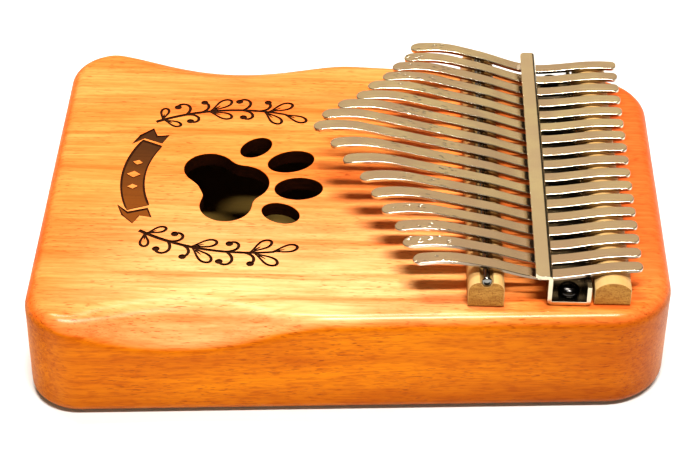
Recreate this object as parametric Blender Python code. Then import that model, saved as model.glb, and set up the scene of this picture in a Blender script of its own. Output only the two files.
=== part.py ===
"""A seventeen-key box mbira (kalimba), modelled in metres with +Z up.

The origin is the centre of the underside. +X runs along the keys towards their tails, -X is the
player's end with the sound hole, and Y runs across the box. The box narrows towards the tails,
and every key points at the place where its two long sides would meet.
"""

import math

import bmesh
import bpy
from mathutils import Matrix, Vector

# Soundbox.
LENGTH = 0.185
PLAYER_WIDTH = 0.140
TAIL_WIDTH = 0.120
HEIGHT = 0.034
PLAYER_CORNER = 0.015
TAIL_CORNER = 0.019
LEAST_CORNER = 0.002
CORNER_POINTS = 20
INNER_CORNER_POINTS = 4
TOP_EDGE_RADIUS = 0.0045
BOTTOM_EDGE_RADIUS = 0.0035
TOP_EDGE_STEPS = 5
BOTTOM_EDGE_STEPS = 4
TOP_THICKNESS = 0.0045
WALL_THICKNESS = 0.0135
GAP = 0.0003

# Back plate, let into the underside.
PLATE_THICKNESS = 0.004
RIM_WIDTH = 0.008
BACK_HOLE_X = -0.060
BACK_HOLE_Y = 0.024
BACK_HOLE_RADIUS = 0.0045
BACK_HOLE_POINTS = 24

# Hand-rest scoops, one in each long edge: a cylinder laid along the sloping cut. Each is the side
# it is on, +1 or -1 in Y, its middle along X, and how far it cuts inwards and downwards.
SCOOPS = ((1, -0.039, 0.0103, 0.0092), (-1, -0.045, 0.0124, 0.0100))
SCOOP_RADIUS = 0.090
SCOOP_LENGTH = 0.030
SCOOP_POINTS = 200

# Paw-shaped sound hole: the pad is a blend of four round lobes (x, y, radius), and each toe is an
# ellipse (x, y, half length, half width, angle in degrees).
PAD_CENTRE = (-0.0385, -0.004)
PAD_LOBES = (
    (-0.0442, 0.0050, 0.0077),
    (-0.0344, -0.0020, 0.0089),
    (-0.0380, -0.0131, 0.0078),
    (-0.0389, -0.0024, 0.0076),
)
PAD_BLEND = 0.0035
PAD_POINTS = 56
PAD_REACH = 0.030
HALVINGS = 30
TOES = (
    (-0.0305, 0.0163, 0.0059, 0.0040, 52.0),
    (-0.0194, 0.0094, 0.0074, 0.0052, 25.0),
    (-0.0165, -0.0042, 0.0073, 0.0055, 5.5),
    (-0.0214, -0.0164, 0.0061, 0.0045, -31.0),
)
TOE_POINTS = 24

# Saddles and the steel rod in the front one.
ROD_X = 0.0384
ROD_RADIUS = 0.0015
ROD_CENTRE_ABOVE_TOP = 0.0088
FRONT_SADDLE_WIDTH = 0.0103
FRONT_SADDLE_TOP = 0.0089
FRONT_SADDLE_HALF_LENGTH = 0.0575
FRONT_SADDLE_SHOULDER = 0.003
SADDLE_POINTS = 5
GROOVE_POINTS = 9
ROD_HALF_LENGTH = 0.0572
ROD_CHAMFER = 0.0006
ROD_POINTS = 16
REAR_SADDLE_X = 0.0742
REAR_SADDLE_WIDTH = 0.0103
REAR_SADDLE_TOP = 0.0082
REAR_SADDLE_SHOULDER = 0.0056
REAR_SADDLE_HALF_LENGTH = 0.0556
ARCHED_TOP_POINTS = 11

# Bent steel bracket: lip, slotted front wall, screwed flange and low rear wall.
SHEET = 0.0013
BRACKET_FRONT_X = 0.0557
BRACKET_REAR_X = 0.0681
BRACKET_LIP_X = 0.0521
BRACKET_TOP = 0.0107
BRACKET_REAR_TOP = 0.0069
BRACKET_HALF_LENGTH = 0.0563
BEND_RADIUS = 0.0012
BEND_POINTS = 4

# Screws through the flange.
SCREW_X = 0.0620
SCREW_PITCH = 0.026
SCREW_COUNT = 5
SCREW_RADIUS = 0.0014
SCREW_HEAD_RADIUS = 0.003
SCREW_POINTS = 16
SCREW_HEAD_HEIGHT = 0.0024
SCREW_TIP_RADIUS = 0.0002
SCREW_TIP_LENGTH = 0.003
# Share of the head's radius and height above its seat, up the side of the head.
SCREW_HEAD_SIDE = ((0.93, 0.0), (1.0, 0.0007), (0.92, 0.0014), (0.7, 0.0020), (0.35, 0.0024))
RECESS_HALF_LENGTH = 0.0014
RECESS_HALF_WIDTH = 0.0003
RECESS_DEPTH = 0.0012
SCREW_DEPTH = 0.0115
SCREW_HOLE_DEPTH = 0.0130
HOLE_POINTS = 12

# Wooden block glued under the top below the bracket.
BRACE_X = (0.0535, 0.0705)
BRACE_HALF_LENGTH = 0.0472
BRACE_HEIGHT = 0.014

# Keys. Each is a spring-steel strip that rests on the rod, dips under the slot of the bracket and
# rises onto the rear saddle. Heights are of its underside above the top of the box.
KEY_COUNT = 17
KEY_CENTRE_Y = 0.001
KEY_PITCH_AT_ROD = 0.00656
KEY_WIDTH = 0.0041
TIP_WIDTH = 0.0046
KEY_THICKNESS = 0.001
KEY_ABOVE_ROD = 0.0106
KEY_AT_SLOT = 0.0062
KEY_AT_REAR = 0.0085
KEY_AT_END = 0.0088
KEY_SLOT_X = 0.0564
KEY_END_X = 0.0826
KEY_SPLIT = 0.0003
TONGUE_SLOPE = 0.235
TONGUE_ARCH_LENGTH = 0.016
TONGUE_ARCH_RADIUS = 0.034
KEY_TIP_ROUND = 0.0023
KEY_TAIL_ROUND = 0.0018
LEAST_HALF_WIDTH = 0.0003
ARCH_STEPS = 8
TAIL_STEPS = 5
ROUNDING_STEPS = 4
LEAST_STEP = 0.0002
SLOPE_STEP = 0.0005
SLOT_CLEARANCE = 0.0003
LONGEST_TONGUE = 0.0504
# How much shorter each key is than its neighbour nearer the middle, outwards on each side.
FAR_STEPS = (0.0023, 0.0046, 0.0055, 0.0035, 0.0045, 0.0030, 0.0037, 0.0020)
NEAR_STEPS = (0.0052, 0.0039, 0.0051, 0.0034, 0.0031, 0.0038, 0.0023, 0.0029)

# How far cutters reach past the surfaces they cut through, and the angle that stays a hard edge.
OVERCUT = 0.001
SHARP_ANGLE = math.radians(35)

WALL_SLOPE = (PLAYER_WIDTH - TAIL_WIDTH) / (2 * LENGTH)
APEX_X = LENGTH / 2 + TAIL_WIDTH / 2 / WALL_SLOPE


def clear_scene():
    for obj in list(bpy.data.objects):
        bpy.data.objects.remove(obj, do_unlink=True)


def material(name, colour, roughness, metallic=0.0):
    made = bpy.data.materials.new(name)
    made.use_nodes = True
    shader = made.node_tree.nodes["Principled BSDF"]
    shader.inputs["Base Color"].default_value = (*colour, 1.0)
    shader.inputs["Roughness"].default_value = roughness
    shader.inputs["Metallic"].default_value = metallic
    made.diffuse_color = (*colour, 1.0)
    return made


def add_object(name, bm, finish=None):
    bmesh.ops.recalc_face_normals(bm, faces=bm.faces)
    mesh = bpy.data.meshes.new(name)
    bm.to_mesh(mesh)
    bm.free()
    mesh.shade_smooth()
    mesh.set_sharp_from_angle(angle=SHARP_ANGLE)
    obj = bpy.data.objects.new(name, mesh)
    bpy.context.collection.objects.link(obj)
    if finish:
        mesh.materials.append(finish)
    return obj


def add_cutter(target, bm):
    """Takes the solid in bm away from the target object."""
    cutter = add_object(target.name + "_cutter", bm)
    cutter.hide_render = True
    cutter.display_type = "WIRE"
    cut = target.modifiers.new("Cut", "BOOLEAN")
    cut.operation = "DIFFERENCE"
    cut.object = cutter


def add_loft(bm, rings):
    """A closed solid through rings of points, with a flat face over the first and the last."""
    levels = [[bm.verts.new(point) for point in ring] for ring in rings]
    for low, high in zip(levels, levels[1:]):
        for i, corner in enumerate(low):
            j = (i + 1) % len(low)
            bm.faces.new((corner, low[j], high[j], high[i]))
    bm.faces.new(reversed(levels[0]))
    bm.faces.new(levels[-1])


def add_prism(bm, outline, bottom, top):
    add_loft(bm, [[(x, y, z) for x, y in outline] for z in (bottom, top)])


def add_box(bm, low, high):
    corners = ((low[0], low[1]), (high[0], low[1]), (high[0], high[1]), (low[0], high[1]))
    add_prism(bm, corners, low[2], high[2])


def circle(x, y, radius, points):
    turns = [2 * math.pi * i / points for i in range(points)]
    return [(x + radius * math.cos(turn), y + radius * math.sin(turn)) for turn in turns]


def rounded_polygon(corners, radii, points):
    """The outline through corners, each one rounded to its radius by an arc."""
    outline = []
    for i, corner in enumerate(corners):
        here = Vector(corner)
        back = (Vector(corners[i - 1]) - here).normalized()
        ahead = (Vector(corners[(i + 1) % len(corners)]) - here).normalized()
        if radii[i] == 0:
            outline.append(here)
            continue
        half = back.angle(ahead) / 2
        centre = here + (back + ahead).normalized() * radii[i] / math.sin(half)
        start = here + back * radii[i] / math.tan(half) - centre
        sweep = start.angle_signed(here + ahead * radii[i] / math.tan(half) - centre)
        for k in range(points):
            outline.append(centre + Matrix.Rotation(-sweep * k / (points - 1), 2) @ start)
    return outline


def half_width(x):
    return WALL_SLOPE * (APEX_X - x)


def box_outline(inset, points=CORNER_POINTS):
    """The plan outline of the soundbox, moved inwards by inset."""
    narrow = inset * math.hypot(1, WALL_SLOPE)
    ends = (-LENGTH / 2 + inset, LENGTH / 2 - inset)
    wide, slim = (half_width(x) - narrow for x in ends)
    corners = ((ends[0], -wide), (ends[1], -slim), (ends[1], slim), (ends[0], wide))
    player = max(PLAYER_CORNER - inset, LEAST_CORNER)
    tail = max(TAIL_CORNER - inset, LEAST_CORNER)
    return rounded_polygon(corners, (player, tail, tail, player), points)


def screw_places():
    first = -SCREW_PITCH * (SCREW_COUNT - 1) / 2
    return [(SCREW_X, first + i * SCREW_PITCH) for i in range(SCREW_COUNT)]


def pad_outline():
    """Where a smooth blend of the pad's lobes ends, along rays from the pad's centre."""

    def outside(x, y):
        distance = None
        for lobe_x, lobe_y, radius in PAD_LOBES:
            lobe = math.hypot(x - lobe_x, y - lobe_y) - radius
            if distance is None:
                distance = lobe
                continue
            blend = max(PAD_BLEND - abs(distance - lobe), 0) / PAD_BLEND
            distance = min(distance, lobe) - blend * blend * PAD_BLEND / 4
        return distance > 0

    outline = []
    for i in range(PAD_POINTS):
        turn = 2 * math.pi * i / PAD_POINTS
        near, far = 0.0, PAD_REACH
        for _ in range(HALVINGS):
            reach = (near + far) / 2
            x = PAD_CENTRE[0] + reach * math.cos(turn)
            y = PAD_CENTRE[1] + reach * math.sin(turn)
            if outside(x, y):
                far = reach
            else:
                near = reach
        outline.append((x, y))
    return outline


def toe_outline(x, y, half_long, half_wide, degrees):
    turn = Matrix.Rotation(math.radians(degrees), 2)
    ellipse = [Vector((half_long * u, half_wide * v)) for u, v in circle(0, 0, 1, TOE_POINTS)]
    return [turn @ point + Vector((x, y)) for point in ellipse]


def add_scoop(bm, side, x, inward, down):
    """The cylinder that cuts a hand rest into the long edge on one side, +1 or -1 in Y."""
    edge = Vector((x, side * half_width(x), HEIGHT))
    slope = Vector((0, side * inward, -down)).normalized()
    outward = Vector((0, side * down, inward)).normalized()
    depth = inward * down / math.hypot(inward, down)
    centre = edge + outward * (SCOOP_RADIUS - depth)
    place = Matrix((outward, slope.cross(outward), slope)).transposed()
    bmesh.ops.create_cone(
        bm,
        cap_ends=True,
        segments=SCOOP_POINTS,
        radius1=SCOOP_RADIUS,
        radius2=SCOOP_RADIUS,
        depth=SCOOP_LENGTH,
        matrix=Matrix.Translation(centre) @ place.to_4x4(),
    )


def make_shell(wood):
    """Top and sides in one piece, hollowed from below, with the rebate for the back plate."""
    bm = bmesh.new()
    rings = []
    for i in range(BOTTOM_EDGE_STEPS + 1):
        turn = math.pi / 2 * i / BOTTOM_EDGE_STEPS
        inset = BOTTOM_EDGE_RADIUS * (1 - math.sin(turn))
        height = BOTTOM_EDGE_RADIUS * (1 - math.cos(turn))
        rings.append([(x, y, height) for x, y in box_outline(inset)])
    for i in range(TOP_EDGE_STEPS + 1):
        turn = math.pi / 2 * i / TOP_EDGE_STEPS
        inset = TOP_EDGE_RADIUS * (1 - math.cos(turn))
        height = HEIGHT - TOP_EDGE_RADIUS * (1 - math.sin(turn))
        rings.append([(x, y, height) for x, y in box_outline(inset)])
    add_loft(bm, rings)
    shell = add_object("soundbox_shell", bm, wood)

    hollow = bmesh.new()
    rebate = PLATE_THICKNESS + GAP
    cavity_top = HEIGHT - TOP_THICKNESS
    wide = box_outline(RIM_WIDTH, INNER_CORNER_POINTS)
    slim = box_outline(WALL_THICKNESS, INNER_CORNER_POINTS)
    levels = ((wide, -OVERCUT), (wide, rebate), (slim, rebate), (slim, cavity_top))
    add_loft(hollow, [[(x, y, z) for x, y in outline] for outline, z in levels])
    add_cutter(shell, hollow)

    holes = bmesh.new()
    for outline in [pad_outline()] + [toe_outline(*toe) for toe in TOES]:
        add_prism(holes, outline, cavity_top - OVERCUT, HEIGHT + OVERCUT)
    for x, y in screw_places():
        outline = circle(x, y, SCREW_RADIUS + GAP, HOLE_POINTS)
        add_prism(holes, outline, HEIGHT - SCREW_HOLE_DEPTH, HEIGHT + OVERCUT)
    add_cutter(shell, holes)

    for scoop in SCOOPS:
        cutter = bmesh.new()
        add_scoop(cutter, *scoop)
        add_cutter(shell, cutter)


def make_back_plate(wood):
    bm = bmesh.new()
    add_prism(bm, box_outline(RIM_WIDTH + GAP, INNER_CORNER_POINTS), 0, PLATE_THICKNESS)
    plate = add_object("back_plate", bm, wood)
    holes = bmesh.new()
    for y in (BACK_HOLE_Y, -BACK_HOLE_Y):
        outline = circle(BACK_HOLE_X, y, BACK_HOLE_RADIUS, BACK_HOLE_POINTS)
        add_prism(holes, outline, -OVERCUT, PLATE_THICKNESS + OVERCUT)
    add_cutter(plate, holes)


def make_brace(wood):
    """The block that the middle screws bite into, glued to the underside of the top."""
    top = HEIGHT - TOP_THICKNESS - GAP
    bm = bmesh.new()
    low = (BRACE_X[0], -BRACE_HALF_LENGTH, top - BRACE_HEIGHT)
    add_box(bm, low, (BRACE_X[1], BRACE_HALF_LENGTH, top))
    brace = add_object("inner_brace", bm, wood)
    holes = bmesh.new()
    for x, y in screw_places()[1:-1]:
        outline = circle(x, y, SCREW_RADIUS + GAP, HOLE_POINTS)
        add_prism(holes, outline, HEIGHT - SCREW_HOLE_DEPTH, HEIGHT)
    add_cutter(brace, holes)


def add_bar(bm, profile, half_length):
    """A profile of (x, z) points run along Y."""
    add_loft(bm, [[(x, y, z) for x, z in profile] for y in (-half_length, half_length)])


def make_front_saddle(wood):
    """A strip with rounded shoulders and a round-bottomed groove for the rod."""
    base = HEIGHT + GAP
    top = HEIGHT + FRONT_SADDLE_TOP
    left = ROD_X - FRONT_SADDLE_WIDTH / 2
    right = ROD_X + FRONT_SADDLE_WIDTH / 2
    corners = ((left, base), (right, base), (right, top), (left, top))
    radii = (0, 0, FRONT_SADDLE_SHOULDER, FRONT_SADDLE_SHOULDER)
    outside = [tuple(point) for point in rounded_polygon(corners, radii, SADDLE_POINTS)]
    split = 2 + SADDLE_POINTS
    reach = ROD_RADIUS + GAP
    groove = [(ROD_X + reach, top)]
    for i in range(GROOVE_POINTS):
        turn = math.pi * i / (GROOVE_POINTS - 1)
        height = HEIGHT + ROD_CENTRE_ABOVE_TOP - reach * math.sin(turn)
        groove.append((ROD_X + reach * math.cos(turn), height))
    groove.append((ROD_X - reach, top))
    bm = bmesh.new()
    add_bar(bm, outside[:split] + groove + outside[split:], FRONT_SADDLE_HALF_LENGTH)
    add_object("front_saddle", bm, wood)


def make_rod(steel):
    centre = HEIGHT + ROD_CENTRE_ABOVE_TOP
    inner = ROD_HALF_LENGTH - ROD_CHAMFER
    slim = ROD_RADIUS - ROD_CHAMFER
    sections = ((-ROD_HALF_LENGTH, slim), (-inner, ROD_RADIUS), (inner, ROD_RADIUS), (ROD_HALF_LENGTH, slim))
    rings = []
    for y, radius in sections:
        rings.append([(x, y, z) for x, z in circle(ROD_X, centre, radius, ROD_POINTS)])
    bm = bmesh.new()
    add_loft(bm, rings)
    add_object("saddle_rod", bm, steel)


def make_rear_saddle(wood):
    """A strip with upright sides and an arched top."""
    base = HEIGHT + GAP
    half = REAR_SADDLE_WIDTH / 2
    rise = REAR_SADDLE_TOP - REAR_SADDLE_SHOULDER
    radius = (half * half + rise * rise) / (2 * rise)
    reach = math.asin(half / radius)
    profile = [(REAR_SADDLE_X - half, base), (REAR_SADDLE_X + half, base)]
    for i in range(ARCHED_TOP_POINTS):
        turn = reach * (1 - 2 * i / (ARCHED_TOP_POINTS - 1))
        height = HEIGHT + REAR_SADDLE_TOP - radius * (1 - math.cos(turn))
        profile.append((REAR_SADDLE_X + radius * math.sin(turn), height))
    bm = bmesh.new()
    add_bar(bm, profile, REAR_SADDLE_HALF_LENGTH)
    add_object("rear_saddle", bm, wood)


def make_bracket(steel):
    base = HEIGHT + GAP
    inner = base + SHEET
    lip_top = HEIGHT + BRACKET_TOP
    front, rear = BRACKET_FRONT_X, BRACKET_REAR_X
    rear_top = HEIGHT + BRACKET_REAR_TOP
    corners = (
        (front, base),
        (rear, base),
        (rear, rear_top),
        (rear - SHEET, rear_top),
        (rear - SHEET, inner),
        (front + SHEET, inner),
        (front + SHEET, lip_top),
        (BRACKET_LIP_X, lip_top),
        (BRACKET_LIP_X, lip_top - SHEET),
        (front, lip_top - SHEET),
    )
    bend = BEND_RADIUS
    profile = rounded_polygon(corners, (bend, bend, 0, 0, 0, 0, bend, 0, 0, 0), BEND_POINTS)
    bm = bmesh.new()
    add_bar(bm, profile, BRACKET_HALF_LENGTH)
    bracket = add_object("steel_bracket", bm, steel)

    cuts = bmesh.new()
    bottom = HEIGHT + KEY_AT_SLOT - SLOT_CLEARANCE
    top = HEIGHT + KEY_AT_SLOT + KEY_THICKNESS + SLOT_CLEARANCE
    half = KEY_WIDTH / 2 + SLOT_CLEARANCE
    for i in range(KEY_COUNT):
        y = key_y(i, KEY_SLOT_X)
        low = (front - OVERCUT, y - half, bottom)
        add_box(cuts, low, (front + SHEET + OVERCUT, y + half, top))
    for x, y in screw_places():
        outline = circle(x, y, SCREW_RADIUS + GAP, HOLE_POINTS)
        add_prism(cuts, outline, base - OVERCUT, inner + OVERCUT)
    add_cutter(bracket, cuts)


def make_screw(name, x, y, steel):
    """A pan-head wood screw with a cross recess in its head."""
    seat = HEIGHT + 2 * GAP + SHEET
    head_top = seat + SCREW_HEAD_HEIGHT
    tip = HEIGHT - SCREW_DEPTH
    profile = [(SCREW_TIP_RADIUS, tip), (SCREW_RADIUS, tip + SCREW_TIP_LENGTH), (SCREW_RADIUS, seat)]
    profile += [(SCREW_HEAD_RADIUS * share, seat + lift) for share, lift in SCREW_HEAD_SIDE]
    bm = bmesh.new()
    add_loft(bm, [[(u, v, z) for u, v in circle(x, y, radius, SCREW_POINTS)] for radius, z in profile])
    screw = add_object(name, bm, steel)
    arms = ((RECESS_HALF_LENGTH, RECESS_HALF_WIDTH), (RECESS_HALF_WIDTH, RECESS_HALF_LENGTH))
    for reach_x, reach_y in arms:
        low = (x - reach_x, y - reach_y, head_top - RECESS_DEPTH)
        high = (x + reach_x, y + reach_y, head_top + OVERCUT)
        recess = bmesh.new()
        add_box(recess, low, high)
        add_cutter(screw, recess)


def key_y(i, x):
    """The middle of key i across the box, where the keys fan out from the apex."""
    spread = (KEY_COUNT - 1) / 2 - i
    return KEY_CENTRE_Y + spread * KEY_PITCH_AT_ROD * (APEX_X - x) / (APEX_X - ROD_X)


def tongue_lengths():
    """The free length of each key from the far side to the near one."""
    far = [LONGEST_TONGUE - sum(FAR_STEPS[:i]) for i in range(1, len(FAR_STEPS) + 1)]
    near = [LONGEST_TONGUE - sum(NEAR_STEPS[:i]) for i in range(1, len(NEAR_STEPS) + 1)]
    return far[::-1] + [LONGEST_TONGUE] + near


def tongue_path(length):
    """(distance from the rod, height above the contact): straight, then arched to the tip."""
    straight = length - TONGUE_ARCH_LENGTH
    path = [(KEY_SPLIT / 2, 0.0)]
    for i in range(ARCH_STEPS + 1):
        along = TONGUE_ARCH_LENGTH * i / ARCH_STEPS
        sag = along * along / (2 * TONGUE_ARCH_RADIUS)
        path.append((straight + along, TONGUE_SLOPE * (straight + along) - sag))
    return path


def tail_path():
    """(distance from the rod, height above the contact): a dip under the slot, then a rise."""
    stops = ((ROD_X, KEY_ABOVE_ROD), (KEY_SLOT_X, KEY_AT_SLOT), (REAR_SADDLE_X, KEY_AT_REAR))
    stops = [(x - ROD_X, height - KEY_ABOVE_ROD) for x, height in stops]
    path = [(KEY_SPLIT / 2, 0.0)]
    for (start, high), (end, low) in zip(stops, stops[1:]):
        for i in range(1, TAIL_STEPS + 1):
            part = i / TAIL_STEPS
            if high > low:
                ease = part * (1 + part * (1 - part))
            else:
                ease = part * part * (3 - 2 * part)
            path.append((start + (end - start) * part, high + (low - high) * ease))
    path.append((KEY_END_X - ROD_X, KEY_AT_END - KEY_ABOVE_ROD))
    return path


def end_rounding(length, end_width, radius):
    """(distance, half width) over the rounded end of a strip."""
    stations = []
    for i in range(ROUNDING_STEPS + 1):
        turn = math.pi / 2 * i / ROUNDING_STEPS
        half = end_width / 2 - radius + radius * math.cos(turn)
        stations.append((length - radius + radius * math.sin(turn), max(half, LEAST_HALF_WIDTH)))
    return stations


def widened(distance, length, end_width, radius):
    """Half the width at a distance from the rod: a strip widens over its last stretch."""
    share = (distance - length + TONGUE_ARCH_LENGTH) / (TONGUE_ARCH_LENGTH - radius)
    return (KEY_WIDTH + (end_width - KEY_WIDTH) * min(max(share, 0), 1)) / 2


def height_on(path, distance):
    for (start, low), (end, high) in zip(path, path[1:]):
        if distance <= end:
            return low + (high - low) * max(distance - start, 0) / (end - start)
    return path[-1][1]


def make_strip(name, i, path, end_width, radius, direction, steel):
    """One length of key i: a flat strip along the path, rounded in plan at its far end."""
    length = path[-1][0]
    ending = end_rounding(length, end_width, radius)
    straight = ending[0][0] - LEAST_STEP
    stations = [(u, widened(u, length, end_width, radius)) for u, _ in path if u < straight] + ending
    place = Vector((ROD_X, key_y(i, ROD_X), HEIGHT + KEY_ABOVE_ROD))
    along = (Vector((APEX_X, KEY_CENTRE_Y, place.z)) - place).normalized() * direction
    across = Vector((0, 0, 1)).cross(along)
    rings = []
    for u, half in stations:
        height = height_on(path, u)
        slope = (height_on(path, u + SLOPE_STEP) - height_on(path, u - SLOPE_STEP)) / (2 * SLOPE_STEP)
        if u in (stations[0][0], length):
            slope = 0.0
        normal = (Vector((0, 0, 1)) - along * slope).normalized() * KEY_THICKNESS
        base = place + along * u + Vector((0, 0, height))
        top = base + normal
        side = across * half
        rings.append((base - side, base + side, top + side, top - side))
    bm = bmesh.new()
    add_loft(bm, rings)
    add_object(name, bm, steel)


def make_keys(steel):
    for i, length in enumerate(tongue_lengths()):
        number = f"{i + 1:02d}"
        tail, tongue = tail_path(), tongue_path(length)
        make_strip(f"key_{number}_tail", i, tail, KEY_WIDTH, KEY_TAIL_ROUND, 1, steel)
        make_strip(f"key_{number}_tongue", i, tongue, TIP_WIDTH, KEY_TIP_ROUND, -1, steel)


def main():
    clear_scene()
    box_wood = material("lacquered_wood", (0.86, 0.45, 0.12), 0.28)
    plate_wood = material("plate_wood", (0.80, 0.42, 0.14), 0.4)
    saddle_wood = material("maple", (0.83, 0.58, 0.27), 0.5)
    inner_wood = material("raw_wood", (0.72, 0.52, 0.30), 0.7)
    spring_steel = material("spring_steel", (0.62, 0.56, 0.46), 0.3, 1.0)
    plated_steel = material("plated_steel", (0.72, 0.66, 0.52), 0.3, 1.0)
    make_shell(box_wood)
    make_back_plate(plate_wood)
    make_brace(inner_wood)
    make_front_saddle(saddle_wood)
    make_rear_saddle(saddle_wood)
    make_rod(plated_steel)
    make_bracket(plated_steel)
    for i, (x, y) in enumerate(screw_places()):
        make_screw(f"bracket_screw_{i + 1}", x, y, plated_steel)
    make_keys(spring_steel)


main()
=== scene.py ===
"""The looks of the seventeen-key box mbira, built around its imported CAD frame.

Everything is in metres in the CAD frame: +X runs along the keys towards their tails, +Y across the
box, +Z up out of the top, and the box stands on z = 0.
"""

import math

import bmesh
import bpy
import numpy as np
from mathutils import Euler, Matrix, Vector


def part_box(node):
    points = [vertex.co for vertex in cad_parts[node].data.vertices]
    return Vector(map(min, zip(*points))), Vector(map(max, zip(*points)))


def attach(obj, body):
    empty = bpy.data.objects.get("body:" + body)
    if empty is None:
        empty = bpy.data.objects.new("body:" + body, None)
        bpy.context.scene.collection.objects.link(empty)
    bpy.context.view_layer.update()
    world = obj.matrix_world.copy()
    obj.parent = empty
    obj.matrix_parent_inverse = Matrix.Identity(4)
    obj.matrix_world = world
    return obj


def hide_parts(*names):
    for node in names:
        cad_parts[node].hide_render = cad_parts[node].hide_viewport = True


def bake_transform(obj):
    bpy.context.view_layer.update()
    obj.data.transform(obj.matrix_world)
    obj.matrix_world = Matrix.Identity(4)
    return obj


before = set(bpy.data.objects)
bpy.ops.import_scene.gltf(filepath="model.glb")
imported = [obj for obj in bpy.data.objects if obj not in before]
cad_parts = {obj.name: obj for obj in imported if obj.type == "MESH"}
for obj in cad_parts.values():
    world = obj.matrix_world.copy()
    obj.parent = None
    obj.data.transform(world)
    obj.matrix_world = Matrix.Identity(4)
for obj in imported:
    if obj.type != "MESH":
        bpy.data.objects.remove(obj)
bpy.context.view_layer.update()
MM = 0.001

SQUARE = ((-1, -1), (1, -1), (1, 1), (-1, 1))

# Cutters stand this far past the surface they cut.
PAST = 1 * MM

# Soundbox. Its box in the frame gives the length and the height of the top.
SHELL_LOW, SHELL_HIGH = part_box("soundbox_shell")
LENGTH = SHELL_HIGH.x - SHELL_LOW.x
TOP = SHELL_HIGH.z
PLAYER_WIDTH = 140 * MM
TAIL_WIDTH = 120 * MM
PLAYER_CORNER = 15 * MM
TAIL_CORNER = 19 * MM
LEAST_CORNER = 2 * MM
TOP_EDGE_RADIUS = 4.5 * MM
BOTTOM_EDGE_RADIUS = 3.5 * MM
TOP_THICKNESS = 4.5 * MM
WALL_THICKNESS = 13.5 * MM
RIM_WIDTH = 8 * MM
GAP = 0.3 * MM
# The walls stand this far inside the CAD's, so that rounding never puts them past its box.
TRIM = 0.002 * MM
WALL_SLOPE = (PLAYER_WIDTH - TAIL_WIDTH) / (2 * LENGTH)
APEX_X = LENGTH / 2 + TAIL_WIDTH / 2 / WALL_SLOPE
CAP_INSET = 19 * MM
# How many rings of points go up the box, over each stretch of its outside.
BOTTOM_RINGS = 8
WALL_RINGS = 22
TOP_RINGS = 12
CAP_RINGS = 14

# Hand-rest scoops: side, middle along X, and how far each cuts inwards and downwards. Their border
# is softer on the top than on the side wall.
SCOOPS = ((1, -39 * MM, 10.3 * MM, 9.2 * MM), (-1, -45 * MM, 12.4 * MM, 10 * MM))
SCOOP_RADIUS = 90 * MM
SOFT_ON_TOP = 4.5 * MM
SOFT_ON_SIDE = 1.5 * MM
SOFTENING_MARGIN = 2 * MM

# Sound hole: lobes of the pad (x, y, radius) and toes (x, y, half length, half width, degrees).
PAD_CENTRE = (-38.5 * MM, -4 * MM)
PAD_LOBES = ((-44.2, 5.0, 7.7), (-34.4, -2.0, 8.9), (-38.0, -13.1, 7.8), (-38.9, -2.4, 7.6))
PAD_BLEND = 3.5 * MM
PAD_REACH = 30 * MM
HALVINGS = 30
TOES = (
    (-30.5, 16.3, 5.9, 4.0, 52.0),
    (-19.4, 9.4, 7.4, 5.2, 25.0),
    (-16.5, -4.2, 7.3, 5.5, 5.5),
    (-21.4, -16.4, 6.1, 4.5, -31.0),
)
RIM_RADIUS = 0.22 * MM
HOLE_DEPTH = TOP_THICKNESS + 2 * MM
PILOT_DEPTH = HOLE_DEPTH + 8 * MM

# Back plate.
PLATE_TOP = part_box("back_plate")[1].z
BACK_HOLES = ((-60 * MM, 24 * MM), (-60 * MM, -24 * MM))
BACK_HOLE_RADIUS = 4.5 * MM
PLATE_CHAMFER = 0.3 * MM
HOLE_CHAMFER = 0.6 * MM

# Saddles and rod.
FRONT_LOW, FRONT_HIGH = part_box("front_saddle")
REAR_LOW, REAR_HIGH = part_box("rear_saddle")
ROD_LOW, ROD_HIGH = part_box("saddle_rod")
ROD_X = (ROD_LOW.x + ROD_HIGH.x) / 2
ROD_Z = (ROD_LOW.z + ROD_HIGH.z) / 2
ROD_RADIUS = (ROD_HIGH.z - ROD_LOW.z) / 2
ROD_END = 0.5 * MM
FRONT_SHOULDER = 3 * MM
GROOVE_LIP = 0.35 * MM
SADDLE_EDGE = 0.25 * MM
REAR_SHOULDER_Z = TOP + 5.6 * MM

# Bracket.
BRACKET_LOW, BRACKET_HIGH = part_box("steel_bracket")
SHEET = 1.3 * MM
BRACKET_FRONT = 55.7 * MM
BRACKET_REAR_TOP = TOP + 6.9 * MM
BEND = 0.85 * MM
LIP_CORNER = 1.6 * MM
SLOT_BOTTOM = TOP + 5.9 * MM
SLOT_TOP = TOP + 7.5 * MM
SLOT_HALF_WIDTH = 2.35 * MM
SLOT_X = 56.4 * MM
SHEET_EDGE = 0.16 * MM

# Screws.
SCREW_NODES = [f"bracket_screw_{i}" for i in range(1, 6)]
SHANK_RADIUS = 1.4 * MM
SCREW_HEAD = 2.4 * MM
SCREW_TIP = 3 * MM
# Up a screw's head, below its dome, as (radius, height) in millimetres.
HEAD_SIDE = ((2.75, 0.0), (2.93, 0.1), (3.0, 0.35))
# Up each arm of its cross recess, as (half length, half width, height above the dome) in millimetres.
RECESS = ((0.5, 0.16, -1.3), (1.55, 0.36, 0.05), (1.75, 0.40, 0.6))

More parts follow.
